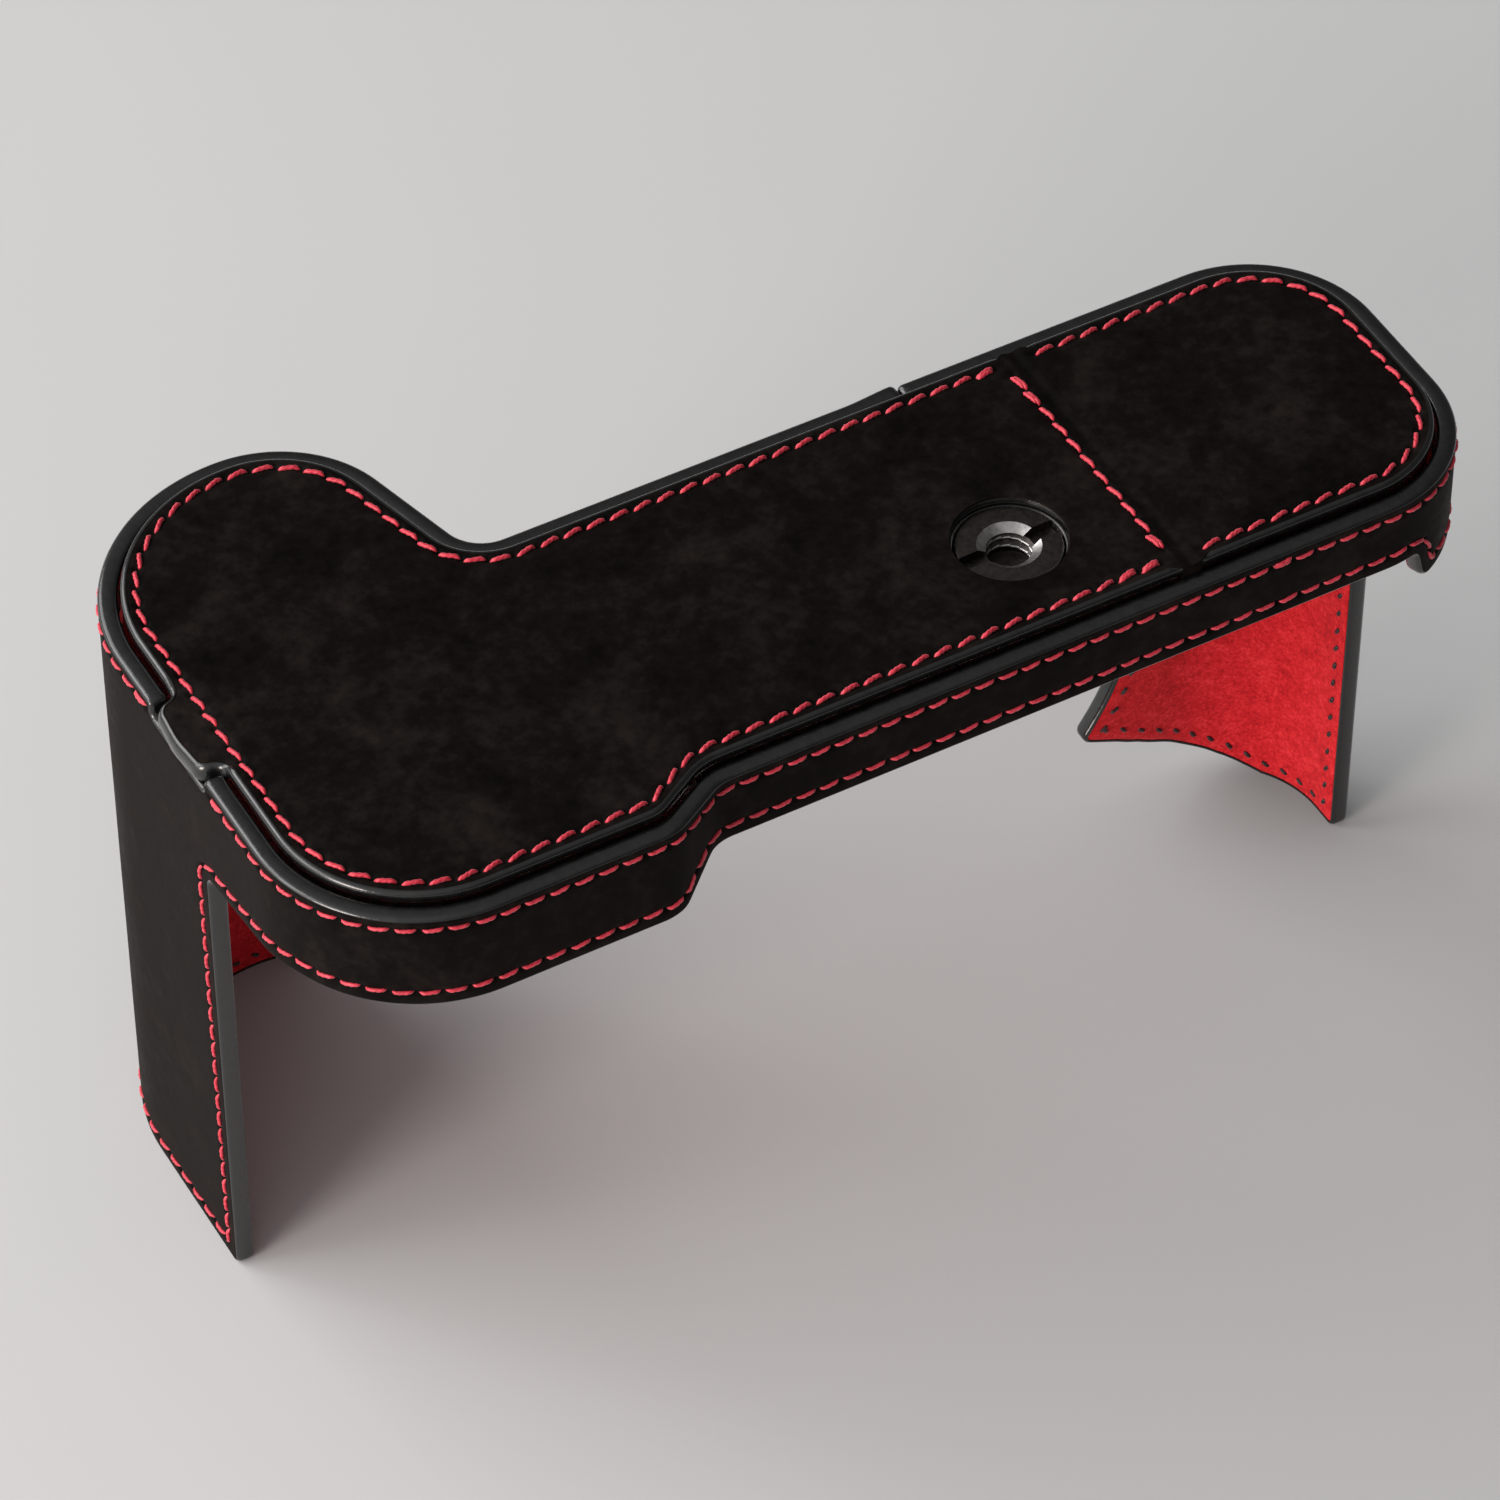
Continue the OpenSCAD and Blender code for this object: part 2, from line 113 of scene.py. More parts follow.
SLOT_TURN, SLOT_W, SLOT_DEPTH = 1.5, 2.0, 1.2

# Spacing of the points of a mesh
ARC_STEP, CIRCLE_STEP = 0.35, 0.4
ROW_FINE = 0.3
ROW_SPREAD = (-0.9, -0.55, -0.25, 0, 0.25, 0.55, 0.9)


# ---------------------------------------------------------------- plane geometry

def ease(x):
    x = np.clip(x, 0, 1)
    return x * x * (3 - 2 * x)


def unit(v):
    return v / np.linalg.norm(v)


def left_of(v):
    return np.array([-v[1], v[0]])


def moved_corners(corners, inset, closed=True):
    """Corners (x, y, radius) of an outline moved to its left by inset, with their radii kept concentric."""
    n = len(corners)
    moved = []
    for i, c in enumerate(corners):
        here = np.array(c[:2], float)
        before = np.array(corners[i - 1][:2], float) if closed or i else None
        after = np.array(corners[(i + 1) % n][:2], float) if closed or i < n - 1 else None
        u = unit(here - before) if before is not None else unit(after - here)
        v = unit(after - here) if after is not None else u
        a, b = left_of(u), left_of(v)
        q = here + inset * (a + b) / (1 + a @ b)
        bend = np.sign(u[0] * v[1] - u[1] * v[0])
        radius = max(0.4, c[2] - bend * inset) if c[2] else 0.0
        moved.append((q[0], q[1], radius))
    return moved


def rounded(corners, closed=True):
    """Outline through corners (x, y, radius), with each corner rounded by an arc."""
    n = len(corners)
    out = []
    for i, c in enumerate(corners):
        here = np.array(c[:2], float)
        if c[2] == 0 or (not closed and i in (0, n - 1)):
            out.append(here)
            continue
        u = unit(here - np.array(corners[i - 1][:2], float))
        v = unit(np.array(corners[(i + 1) % n][:2], float) - here)
        turn = math.atan2(u[0] * v[1] - u[1] * v[0], u @ v)
        start = here - u * c[2] * math.tan(abs(turn) / 2)
        side = left_of(u) * math.copysign(1, turn)
        mid = start + side * c[2]
        steps = max(2, math.ceil(c[2] * abs(turn) / ARC_STEP))
        for k in range(steps + 1):
            a = turn * k / steps
            c0, s0 = math.cos(a), math.sin(a)
            r = start - mid
            out.append(mid + np.array([r[0] * c0 - r[1] * s0, r[0] * s0 + r[1] * c0]))
    return np.array(out)


def densified(path, step, closed=True):
    """The same path with no two neighbouring points further apart than step."""
    ends = np.vstack([path, path[:1]]) if closed else path
    out = []
    for a, b in zip(ends[:-1], ends[1:]):
        count = max(1, math.ceil(np.linalg.norm(b - a) / step - 1e-6))
        out += [a + (b - a) * k / count for k in range(count)]
    if not closed:
        out.append(ends[-1])
    out = np.array(out)
    keep = np.linalg.norm(np.diff(np.vstack([out[-1:], out]), axis=0), axis=1) > 1e-4
    return out[keep] if closed else out[np.r_[True, keep[1:]]]


def lengths(path):
    return np.r_[0, np.cumsum(np.linalg.norm(np.diff(path, axis=0), axis=1))]


def shifted(loop, t):
    """A closed loop moved inwards, to its left, by t at each point."""
    along = np.roll(loop, -1, 0) - np.roll(loop, 1, 0)
    along /= np.linalg.norm(along, axis=1, keepdims=True)
    return loop + t * np.stack([-along[:, 1], along[:, 0]], 1)


def inside(points, loop):
    """Which points lie inside a closed loop."""
    x, y = points[:, 0], points[:, 1]
    odd = np.zeros(len(points), bool)
    for (x0, y0), (x1, y1) in zip(loop, np.roll(loop, -1, 0)):
        if y0 == y1:
            continue
        cross = ((y0 > y) != (y1 > y)) & (x < (x1 - x0) * (y - y0) / (y1 - y0) + x0)
        odd ^= cross
    return odd


def distance_to(points, targets):
    """Distance from each point to the nearest target point."""
    tree = kdtree.KDTree(len(targets))
    for i, p in enumerate(targets):
        tree.insert((p[0], p[1], 0), i)
    tree.balance()
    return np.array([tree.find((p[0], p[1], 0))[2] for p in points])


# ---------------------------------------------------------------- plan of the walls

PLAN = [
    (SEAM, FRONT, 0), (GRIP_INNER + GRIP_SIDE_RUN, FRONT, GRIP_FOOT_R),
    (GRIP_INNER, HALF_DEPTH, GRIP_SIDE_R), (-HALF_LEN, HALF_DEPTH, GRIP_END_R),
    (-HALF_LEN, -HALF_DEPTH, THUMB_END_R), (STEP - STEP_SIDE_RUN, -HALF_DEPTH, STEP_OUT_R),
    (STEP + STEP_SIDE_RUN, BACK, STEP_IN_R), (HALF_LEN, BACK, END_R), (HALF_LEN, FRONT, END_R),
]
plan_line = densified(rounded(PLAN), 0.3)
plan_line = np.vstack([plan_line, plan_line[:1]])
plan_d = lengths(plan_line)
ROUND = plan_d[-1]
plan_along = np.gradient(plan_line, axis=0)
plan_along[[0, -1]] = (-1, 0)
plan_along /= np.linalg.norm(plan_along, axis=1, keepdims=True)


def wall_lift(p, depth):
    """Place on the wall: p is (distance round the outline from the seam, height), depth goes inwards.
    Beside the seam the wall stands out, where its end laps over the other end."""
    d = np.clip(p[:, 0], 0, ROUND)
    x, y = np.interp(d, plan_d, plan_line[:, 0]), np.interp(d, plan_d, plan_line[:, 1])
    nx, ny = -np.interp(d, plan_d, plan_along[:, 1]), np.interp(d, plan_d, plan_along[:, 0])
    depth = depth - LAP * ease(1 - d / LAP_RUN)
    return np.stack([x + nx * depth, y + ny * depth, p[:, 1]], 1)


def place(x, y):
    """Distance round the outline of the point nearest to x, y."""
    return float(plan_d[np.argmin(np.hypot(plan_line[:, 0] - x, plan_line[:, 1] - y))])


def lens_angle(x):
    """Angle of the upper half of the lens cut-out at a place along X."""
    return math.pi / 2 - math.asin((x - LENS_X) / LENS_R)


def lens_arc(a0, a1, count):
    """Points (x, z) of the lens cut-out between two angles."""
    return [(LENS_X + LENS_R * math.cos(a), LENS_Z + LENS_R * math.sin(a)) for a in np.linspace(a0, a1, count)]


def end_curve_y(x):
    """Front of the plan's plain end at a place along X."""
    return FRONT - END_R + math.sqrt(max(0, END_R ** 2 - max(0, x - HALF_LEN + END_R) ** 2))


THUMB, BACKZ, ENDZ, LEGZ = RIM - THUMB_BAND, RIM - BACK_BAND, RIM - END_BAND, RIM - SIDE_BAND
tip_x = LENS_X + math.sqrt(LENS_R ** 2 - (LENS_Z - TIP_Z) ** 2)
tip_a = -math.asin((LENS_Z - TIP_Z) / LENS_R)
flat_x = LENS_X - math.sqrt(LENS_R ** 2 - (ENDZ - LENS_Z) ** 2)
slope_x = np.linspace(FOOT_X, tip_x, 16)

# Free edge of the walls, from the seam round to the seam: distance round the outline, height, corner radius
free_edge = (
    [(SEAM - x, z, 0) for x, z in lens_arc(lens_angle(SEAM), lens_angle(flat_x), 8)]
    + [(place(GRIP_LEG_X, HALF_DEPTH), ENDZ, SWEEP_R), (place(GRIP_LEG_X, HALF_DEPTH), 0, LEG_FOOT_R),
       (place(-HALF_LEN, GRIP_LEG_Y), 0, LEG_FOOT_R), (place(-HALF_LEN, GRIP_LEG_Y), LEGZ, LEG_CORNER_R),
       (place(-HALF_LEN, THUMB_Y), THUMB, THUMB_R),
       (place(STEP - STEP_RUN, -HALF_DEPTH), THUMB, STEP_HIGH_R),
       (place(STEP + STEP_RUN, BACK), BACKZ, STEP_LOW_R),
       (place(CORNER_HIGH_X, BACK), BACKZ, CORNER_HIGH_R), (place(CORNER_LOW_X, BACK), ENDZ, CORNER_LOW_R),
       (place(HALF_LEN, END_LEG_Y), ENDZ, LEG_CORNER_R), (place(HALF_LEN, END_LEG_Y), 0, LEG_FOOT_R)]
    + [(place(x, end_curve_y(x)), (FOOT_X - x) / (FOOT_X - tip_x) * TIP_Z, TIP_R if x == slope_x[-1] else 0)
       for x in slope_x]
    + [(ROUND - (x - SEAM), z, 0) for x, z in lens_arc(tip_a, lens_angle(SEAM), 40)[1:]]
)
notch_d = [place(-HALF_LEN, TAB_Y + s * NOTCH_W / 2) for s in (1, -1)]
notch_foot = RIM - NOTCH_DEPTH
top_edge = [
    (ROUND, RIM, RIM_R), (notch_d[1], RIM, RIM_R), (notch_d[1], notch_foot, RIM_R),
    (notch_d[0], notch_foot, RIM_R), (notch_d[0], RIM, RIM_R), (0, RIM, RIM_R),
]
wall_loop = densified(rounded(free_edge + top_edge), 0.5)


# ---------------------------------------------------------------- mesh building

def new_mesh(name, verts, faces, materials, face_material=None, sharp=50):
    mesh = bpy.data.meshes.new(name)
    mesh.from_pydata((np.asarray(verts) * MM).tolist(), [], faces)
    for m in materials:
        mesh.materials.append(m)
    if face_material is not None:
        mesh.polygons.foreach_set("material_index", np.asarray(face_material, np.int32))
    mesh.polygons.foreach_set("use_smooth", np.ones(len(mesh.polygons), bool))
    mesh.set_sharp_from_angle(angle=math.radians(sharp))
    mesh.update()
    obj = bpy.data.objects.new(name, mesh)
    bpy.context.scene.collection.objects.link(obj)
    return obj


def triangulated(loops, points):
    """Triangles between closed loops (the first one round the others) through the points; the loops come first."""
    ring = np.vstack(loops)
    everything = np.vstack([ring, points])
    starts = np.cumsum([0] + [len(l) for l in loops])
    flat = [Vector((float(q[0]), float(q[1]))) for q in everything]
    bounds = [list(range(i, j)) for i, j in zip(starts[:-1], starts[1:])]
    verts, _, faces, sources, _, _ = geometry.delaunay_2d_cdt(flat, [], bounds, 1, 1e-5)
    index = {}
    for new, old in enumerate(sources):
        for o in old:
            index[o] = new
    order = [index[i] for i in range(len(ring))]
    taken = set(order)
    order += [i for i in range(len(verts)) if i not in taken]
    rank = {v: i for i, v in enumerate(order)}
    placed = np.array([[*verts[i]] for i in order])
    tri = np.array([[rank[i] for i in f] for f in faces])
    u, v = placed[tri[:, 1]] - placed[tri[:, 0]], placed[tri[:, 2]] - placed[tri[:, 0]]
    area = u[:, 0] * v[:, 1] - u[:, 1] * v[:, 0]
    tri[area < 0] = tri[area < 0][:, ::-1]
    for hole in loops[1:]:
        tri = tri[~inside(placed[tri].mean(1), hole)]
    return placed, tri


def fill(loops, spacing, rows=()):
    """Points between loops: a coarse grid, and fine points along each row of stitches."""
    outer = loops[0]
    dense = np.vstack([densified(l, 0.3) for l in loops])

    def within(q, clear):
        q = q[inside(q, outer)]
        for hole in loops[1:]:
            q = q[~inside(q, hole)]
        return q[distance_to(q, dense) > clear]

    x0, y0 = outer.min(0)
    x1, y1 = outer.max(0)
    gx, gy = np.meshgrid(np.arange(x0 + spacing / 2, x1, spacing), np.arange(y0 + spacing / 2, y1, spacing))
    gx[1::2] += spacing / 2
    grid = within(np.stack([gx.ravel(), gy.ravel()], 1), spacing * 0.45)
    if not len(rows):
        return grid
    near = []
    for row in rows:
        line = densified(row, ROW_FINE, closed=False)
        along = np.gradient(line, axis=0)
        along /= np.linalg.norm(along, axis=1, keepdims=True)
        side = np.stack([-along[:, 1], along[:, 0]], 1)
        near += [line + side * w for w in ROW_SPREAD]
    near = within(np.vstack(near), 0.2)
    sewn = np.vstack([densified(r, 0.4, closed=False) for r in rows])
    keep = distance_to(grid, sewn) > max(ROW_SPREAD) + ROW_FINE
    return np.vstack([grid[keep], near])


def shell(name, loops, profile, lift, spacing, materials, edge_rings=(), rows=(), relief=None, flip=False, fade=None):
    """Closed sheet with a shaped edge. profile lists (distance in from the loops, depth) from the detailed face round
    to the plain one; the bands of faces numbered in edge_rings take the second material."""
    keep = [np.ones(len(l)) if fade is None else fade(l) for l in loops]
    rings = [[l + (shifted(l, 1.0) - l) * (t * k)[:, None] for l, k in zip(loops, keep)] for t, _ in profile]
    keep = np.concatenate(keep)
    share = np.linspace(profile[0][1], profile[-1][1], len(profile))
    front, tri_front = triangulated(rings[0], fill(rings[0], spacing, rows))
    back, tri_back = triangulated(rings[-1], fill(rings[-1], 3 * spacing))
    depth = np.full(len(front), float(profile[0][1]))
    if relief:
        depth += relief(front) * (-1 if flip else 1)
    n = len(keep)
    parts, starts, total = [lift(front, depth)], [0], len(front)
    for k in range(1, len(profile) - 1):
        parts.append(lift(np.vstack(rings[k]), profile[k][1] * keep + share[k] * (1 - keep)))
        starts.append(total)
        total += n
    parts.append(lift(back, np.full(len(back), float(profile[-1][1]))))
    starts.append(total)
    after = []
    for l in loops:
        after += list(range(len(after) + 1, len(after) + len(l))) + [len(after)]
    here, after = np.arange(n), np.array(after)
    faces, marks = tri_front.tolist(), [0] * len(tri_front)
    for k, (i, j) in enumerate(zip(starts[:-1], starts[1:])):
        faces += np.stack([i + here, j + here, j + after, i + after], 1).tolist()
        marks += [1 if k in edge_rings else 0] * n
    faces += (total + tri_back[:, ::-1]).tolist()
    marks += [0] * len(tri_back)
    if flip:
        faces = [f[::-1] for f in faces]
    return new_mesh(name, np.vstack(parts), faces, materials, marks)


def stitches(name, rows, lift, material, radius=YARN_R, length=STITCH, slant=0.17, proud=0.2, sink=0.4,
             doubles=(), seed=1):
    """One mesh of twisted stitches that follow the rows and dive into the surface at both ends."""
    rng = np.random.default_rng(seed)
    sides, steps = 10, 15
    u = np.linspace(0, 1, steps)
    phi = np.arange(sides) / sides * 2 * math.pi
    verts, faces, total = [], [], 0
    for path in rows:
        line = densified(path, 0.25, closed=False)
        d = lengths(line)
        count = int((d[-1] - length) // PITCH) + 1
        first = (d[-1] - (count - 1) * PITCH - length) / 2
        items = [(first + k * PITCH, 0.0, length) for k in range(count)]
        for point in doubles:
            s = d[np.argmin(np.hypot(*(line - np.array(point)).T))]
            k = min(items, key=lambda it: abs(it[0] + length / 2 - s))
            items.append((k[0] + 0.25, 0.34, length * 0.92))
        for start, off, size in items:
            s = start + u * size + rng.normal(0, 0.03)
            x, y = np.interp(s, d, line[:, 0]), np.interp(s, d, line[:, 1])
            tx, ty = np.gradient(x), np.gradient(y)
            run = np.hypot(tx, ty)
            side = np.stack([-ty / run, tx / run], 1)
            tilt = slant + rng.normal(0, 0.035)
            lateral = off + tilt * np.sin((u - 0.5) * math.pi)
            flat = np.stack([x, y], 1) + side * lateral[:, None]
            rise = proud * (1 + rng.normal(0, 0.08)) - (proud + sink) * np.abs(2 * u - 1) ** 5
            mid = lift(flat, -rise)
            out = lift(flat, -rise - 1) - mid
            ahead = np.gradient(mid, axis=0)
            ahead /= np.linalg.norm(ahead, axis=1, keepdims=True)
            across = np.cross(ahead, out)
            across /= np.linalg.norm(across, axis=1, keepdims=True)
            up = np.cross(across, ahead)
            twist = phi[None, :] - 2 * math.pi * (1.7 * u[:, None] + rng.random())
            r = radius * (1 + 0.12 * np.cos(2 * twist)) * (1 - 0.35 * np.abs(2 * u[:, None] - 1) ** 6)
            ring = mid[:, None, :] + r[..., None] * (
                np.cos(phi)[None, :, None] * across[:, None, :] + np.sin(phi)[None, :, None] * up[:, None, :])
            verts.append(ring.reshape(-1, 3))
            for a in range(steps - 1):
                for b in range(sides):
                    c = (b + 1) % sides
                    p, q = total + a * sides, total + (a + 1) * sides
                    faces.append([p + b, p + c, q + c, q + b])
            faces.append([total + b for b in range(sides)][::-1])
            faces.append([total + (steps - 1) * sides + b for b in range(sides)])
            total += steps * sides
    return new_mesh(name, np.vstack(verts), faces, [material], sharp=80)


def needle_holes(rows):
    """Middles of the gaps between stitches."""
    holes = []
    for path in rows:
        line = densified(path, 0.25, closed=False)
        d = lengths(line)
        count = int((d[-1] - STITCH) // PITCH) + 1
        first = (d[-1] - (count - 1) * PITCH - STITCH) / 2
        s = first + np.arange(count + 1) * PITCH - (PITCH - STITCH) / 2
        s = np.clip(s, 0, d[-1])
        holes.append(np.stack([np.interp(s, d, line[:, 0]), np.interp(s, d, line[:, 1])], 1))
    return np.vstack(holes)


def pressed(rows, groove=0.14, groove_w=0.5, hole=0.3, hole_w=0.38):
    """Relief that rows of stitches press into leather: a soft groove with a dimple at each needle hole."""
    line = np.vstack([densified(r, 0.2, closed=False) for r in rows])
    holes = needle_holes(rows)

    def relief(p):
        from_row = distance_to(p, line)
        from_hole = distance_to(p, holes)
        swell = 0.035 * np.sin(p[:, 0] * 0.31 + 1.3) * np.sin(p[:, 1] * 0.27 + p[:, 0] * 0.05)
        return groove * np.exp(-(from_row / groove_w) ** 2) + hole * np.exp(-(from_hole / hole_w) ** 2) + swell * 0.6
    return relief


# ---------------------------------------------------------------- materials

class Nodes:
    """Short hand for a material's node tree."""

    def __init__(self, name):
        self.material = bpy.data.materials.new(name)
        self.material.use_nodes = True
        self.tree = self.material.node_tree
        self.shader = self.tree.nodes["Principled BSDF"]
        self.place = self.tree.nodes.new("ShaderNodeTexCoord").outputs["Object"]

    def link(self, a, b):
        self.tree.links.new(a, b)

    def noise(self, per_mm, detail=3.0, rough=0.55, warp=0.0):
        n = self.tree.nodes.new("ShaderNodeTexNoise")
        n.inputs["Scale"].default_value = per_mm / MM
        n.inputs["Detail"].default_value = detail
        n.inputs["Roughness"].default_value = rough
        n.inputs["Distortion"].default_value = warp
        self.link(self.place, n.inputs["Vector"])
        return n.outputs["Fac"]

    def cells(self, per_mm):
        n = self.tree.nodes.new("ShaderNodeTexVoronoi")
        n.inputs["Scale"].default_value = per_mm / MM
        self.link(self.place, n.inputs["Vector"])
        return n.outputs["Distance"]

    def ramp(self, value, stops):
        n = self.tree.nodes.new("ShaderNodeValToRGB")
        while len(n.color_ramp.elements) < len(stops):
            n.color_ramp.elements.new(0.5)
        for e, (at, c) in zip(n.color_ramp.elements, stops):
            e.position = at
            e.color = (*c, 1) if not isinstance(c, (int, float)) else (c, c, c, 1)
        self.link(value, n.inputs["Fac"])
        return n.outputs["Color"]

    def mixed(self, factor, a, b):
        n = self.tree.nodes.new("ShaderNodeMix")
        n.data_type = "RGBA"
        n.inputs[0].default_value = factor
        self.link(a, n.inputs[6])
        self.link(b, n.inputs[7])
        return n.outputs[2]

    def bump(self, height, strength, distance_mm, below=None):
        n = self.tree.nodes.new("ShaderNodeBump")
        n.inputs["Strength"].default_value = strength
        n.inputs["Distance"].default_value = distance_mm * MM
        self.link(height, n.inputs["Height"])
        if below:
            self.link(below, n.inputs["Normal"])
        return n.outputs["Normal"]

    def set(self, **sockets):
        for name, v in sockets.items():
            socket = self.shader.inputs[name.replace("_", " ")]
            if isinstance(v, (int, float)):
                socket.default_value = v
            elif isinstance(v, tuple):
                socket.default_value = (*v, 1)
            else:
                self.link(v, socket)
        return self


def leather_material():
    """Black oiled leather: cloudy, with a fine pebble grain."""
    m = Nodes("black_leather")
    clouds = m.noise(0.09, 4, 0.6, warp=0.6)
    mottle = m.noise(0.55, 5, 0.65)
    tone = m.mixed(0.45, clouds, mottle)
    m.set(Base_Color=m.ramp(tone, [(0.36, (0.0022, 0.0018, 0.0016)), (0.5, (0.0052, 0.0042, 0.0038)),
                                   (0.66, (0.0150, 0.0112, 0.0098))]))
    m.set(Roughness=m.ramp(tone, [(0.36, 0.44), (0.66, 0.7)]))
    grain = m.cells(2.6)
    fine = m.noise(5.5, 3, 0.6)
    soft = m.bump(m.noise(0.35, 3), 0.15, 0.3)
    m.set(Normal=m.bump(m.mixed(0.5, grain, fine), 0.22, 0.06, soft))
    m.set(IOR=1.4, Specular_IOR_Level=0.035, Sheen_Weight=0.02, Sheen_Roughness=0.45, Sheen_Tint=(0.9, 0.7, 0.6))
    return m.material


def edge_material():
    """Glossy black paint on cut leather edges."""
    m = Nodes("edge_paint")
    m.set(Base_Color=m.ramp(m.noise(0.8, 3), [(0.35, 0.002), (0.7, 0.006)]))
    m.set(Roughness=m.ramp(m.noise(0.5, 3), [(0.3, 0.16), (0.7, 0.3)]))
    m.set(Normal=m.bump(m.noise(0.9, 3), 0.3, 0.14))
    m.set(IOR=1.5, Coat_Weight=0.5, Coat_Roughness=0.15)
    return m.material


def suede_material():
    """Red suede with a short, patchy nap."""
    m = Nodes("red_suede")
    patches = m.noise(0.32, 4, 0.65, warp=0.8)
    flecks = m.noise(0.95, 4, 0.7, warp=0.5)
    nap = m.noise(2.4, 4, 0.7)
    tone = m.mixed(0.45, m.mixed(0.5, patches, flecks), nap)
    m.set(Base_Color=m.ramp(tone, [(0.36, (0.36, 0.003, 0.007)), (0.5, (0.66, 0.011, 0.018)),
                                   (0.64, (0.9, 0.045, 0.055))]))
    m.set(Roughness=0.92)
    m.set(Normal=m.bump(nap, 0.55, 0.14, m.bump(patches, 0.3, 0.3)))
    m.set(Sheen_Weight=0.35, Sheen_Roughness=0.4, Sheen_Tint=(1.0, 0.25, 0.25), IOR=1.35)
    return m.material


def yarn_material(name, dark, light):
    """Waxed twisted thread."""
    m = Nodes(name)
    m.set(Base_Color=m.ramp(m.noise(1.6, 3), [(0.3, dark), (0.7, light)]))
    m.set(Roughness=0.42)
    m.set(Normal=m.bump(m.noise(9, 2), 0.3, 0.04))
    m.set(Sheen_Weight=0.3, Sheen_Roughness=0.4, Sheen_Tint=(1.0, 0.75, 0.78), IOR=1.5)
    return m.material


def board_material():
    """Pressed leather-fibre board."""
    m = Nodes("fibre_board")
    m.set(Base_Color=m.ramp(m.noise(1.4, 5, 0.7), [(0.3, (0.05, 0.04, 0.03)), (0.7, (0.13, 0.1, 0.07))]))
    m.set(Roughness=0.85, Normal=m.bump(m.noise(3, 4), 0.4, 0.1))
    return m.material


def metal_material(name, dark, light, rough):
    """Turned metal with fine rings."""
    m = Nodes(name)
    rings = m.noise(1.2, 4, 0.6)
    m.set(Base_Color=m.ramp(rings, [(0.3, dark), (0.7, light)]), Metallic=1.0)
    m.set(Roughness=m.ramp(m.noise(2.5, 3), [(0.3, rough * 0.8), (0.7, rough * 1.25)]))
    m.set(Normal=m.bump(m.noise(14, 2), 0.1, 0.02))
    return m.material


def plastic_material():
    m = Nodes("white_plastic")
    m.set(Base_Color=m.ramp(m.noise(2, 2), [(0.3, (0.6, 0.6, 0.56)), (0.7, (0.7, 0.7, 0.66))]), Roughness=0.5)
    return m.material


LEATHER_MAT = leather_material()
EDGE_MAT = edge_material()
SUEDE_MAT = suede_material()
YARN_MAT = yarn_material("red_yarn", (0.5, 0.016, 0.035), (0.78, 0.05, 0.085))
BOBBIN_MAT = yarn_material("dark_yarn", (0.012, 0.004, 0.005), (0.03, 0.008, 0.01))
BOARD_MAT = board_material()
DARK_METAL = metal_material("dark_metal", (0.042, 0.036, 0.033), (0.075, 0.065, 0.06), 0.42)
BRIGHT_METAL = metal_material("bright_metal", (0.3, 0.285, 0.275), (0.5, 0.48, 0.47), 0.32)
PLASTIC_MAT = plastic_material()


# ---------------------------------------------------------------- rows of stitches

def cut(path, a, b):
    """The part of a path between its points nearest to a and b."""
    line = densified(path, 0.25, closed=False)
    i, j = (int(np.argmin(np.hypot(*(line - np.array(q)).T))) for q in (a, b))
    return line[i:j + 1]


edge_row = rounded(moved_corners(free_edge, EDGE_ROW, closed=False), closed=False)
first_d, last_d = 1.4, ROUND - 1.4
split_a = (place(GRIP_LEG_X - EDGE_ROW, HALF_DEPTH), LENS_Z + ROW_JOIN_RISE)
split_b = (place(-HALF_LEN, GRIP_LEG_Y + EDGE_ROW), LEGZ + EDGE_ROW)
split_c = (place(HALF_LEN, END_LEG_Y + EDGE_ROW), ENDZ + EDGE_ROW)
split_d = (ROUND - (tip_x + 2.6 - SEAM), TIP_Z + 1.6)
wall_rows = {
    "rim_thread": [np.array([(first_d, RIM - RIM_ROW), (notch_d[0] - 1, RIM - RIM_ROW)]),
                   np.array([(notch_d[1] + 1, RIM - RIM_ROW), (last_d, RIM - RIM_ROW)])],
    "front_edge_thread": [cut(edge_row, (first_d, edge_row[0][1]), split_a),
                          cut(edge_row, split_d, (last_d, edge_row[-1][1]))],
    "grip_leg_thread": [cut(edge_row, split_a, split_b)],
    "back_edge_thread": [cut(edge_row, split_b, split_c)],
    "end_leg_thread": [cut(edge_row, split_c, split_d)],
}
base_line = densified(rounded(moved_corners(PLAN, BASE_ROW)), 0.25)
front_row, back_row = FRONT - BASE_ROW, BACK + BASE_ROW
begin = int(np.argmin(np.hypot(base_line[:, 0] - FOLD_ROW, base_line[:, 1] - front_row)))
base_line = np.roll(base_line, -begin, axis=0)
panel_x = FOLD_HIGH + 1.2
base_rows = {
    "flap_thread": [cut(base_line, (FOLD_ROW - 0.3, front_row), (FOLD_ROW - 0.3, back_row)),
                    np.array([(FOLD_ROW, back_row + 1), (FOLD_ROW, front_row - 1)])],
    "end_panel_thread": [cut(base_line, (panel_x, back_row), (panel_x, front_row))],
}
tacks = [(27.7, -29.6), (51.6, -29.6), (69.3, -0.5), (FOLD_ROW, 5.2)]
rim_tacks = [(notch_d[0] - 2, RIM - RIM_ROW), (notch_d[1] + 2, RIM - RIM_ROW), (place(RIM_TACK_X, BACK), RIM - RIM_ROW)]
all_wall_rows = [r for rows in wall_rows.values() for r in rows]
all_base_rows = [r for rows in base_rows.values() for r in rows]


# ---------------------------------------------------------------- pieces

def settle(obj, body, slot, *nodes):
    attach(obj, body)
    if nodes:
        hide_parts(*nodes)
    return obj


